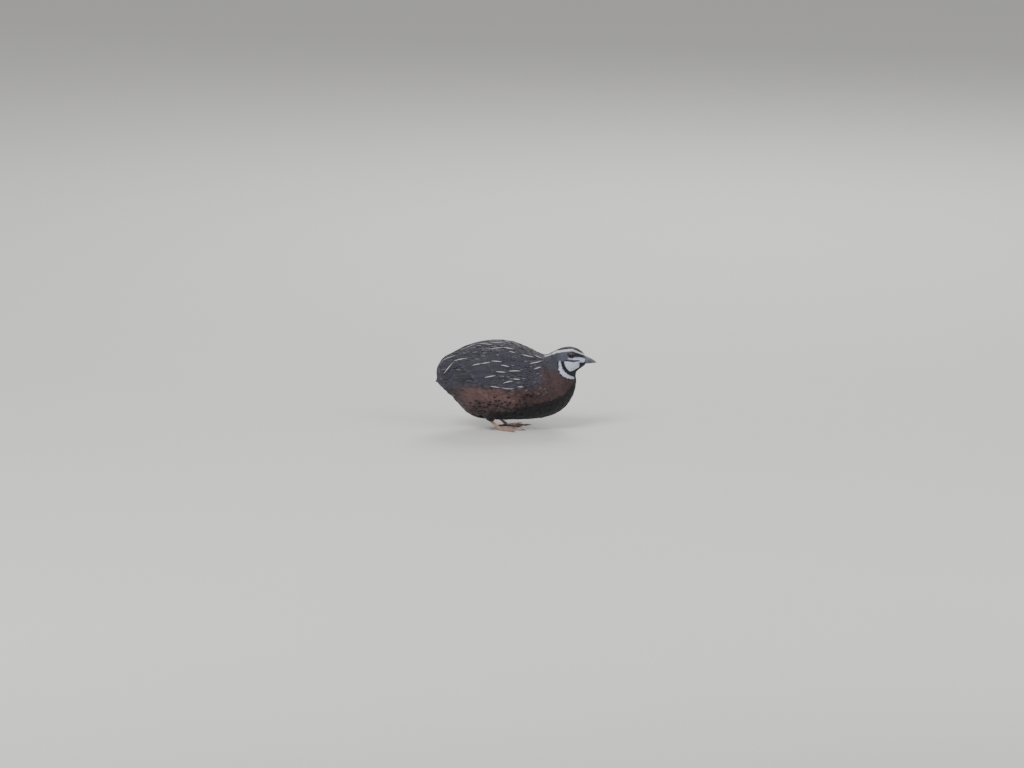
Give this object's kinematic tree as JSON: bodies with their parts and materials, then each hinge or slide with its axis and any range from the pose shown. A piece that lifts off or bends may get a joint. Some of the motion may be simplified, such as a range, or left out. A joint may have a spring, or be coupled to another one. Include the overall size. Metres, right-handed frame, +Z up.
{
  "type": "male harlequin quail, life-size still model",
  "caption": "Life-size still model of a male harlequin quail in a low hunched stance, resting on its toes.",
  "frame": {"origin": "centre of the model's bounding box, at floor level", "axes": "+X towards the bill, +Y to the bird's left, +Z up"},
  "size_m": [0.152, 0.067, 0.0842],
  "materials": {
    "back": "matt grey-brown body plumage with pale shaft streaks",
    "breast": "matt black and chestnut breast plumage",
    "face": "white, grey and black face plumage",
    "wing": "grey-brown wing feathers with pale shafts",
    "tail": "dark brown tail feathers and coverts",
    "flank": "rufous flank plumage",
    "bill": "slate grey horn, satin",
    "eye": "dark brown eye, glossy",
    "leg": "flesh-coloured scaled skin, satin"
  },
  "bodies": {
    "root": {"torso": "back", "neck": "breast", "head": "face", "bill_upper": "bill", "bill_lower": "bill", "eye_left": "eye", "eye_right": "eye", "wing_left": "wing", "wing_right": "wing", "tail": "tail", "thigh_left": "flank", "thigh_right": "flank", "tarsus_left": "leg", "tarsus_right": "leg", "foot_left": "leg", "foot_right": "leg"}
  },
  "joints": []
}
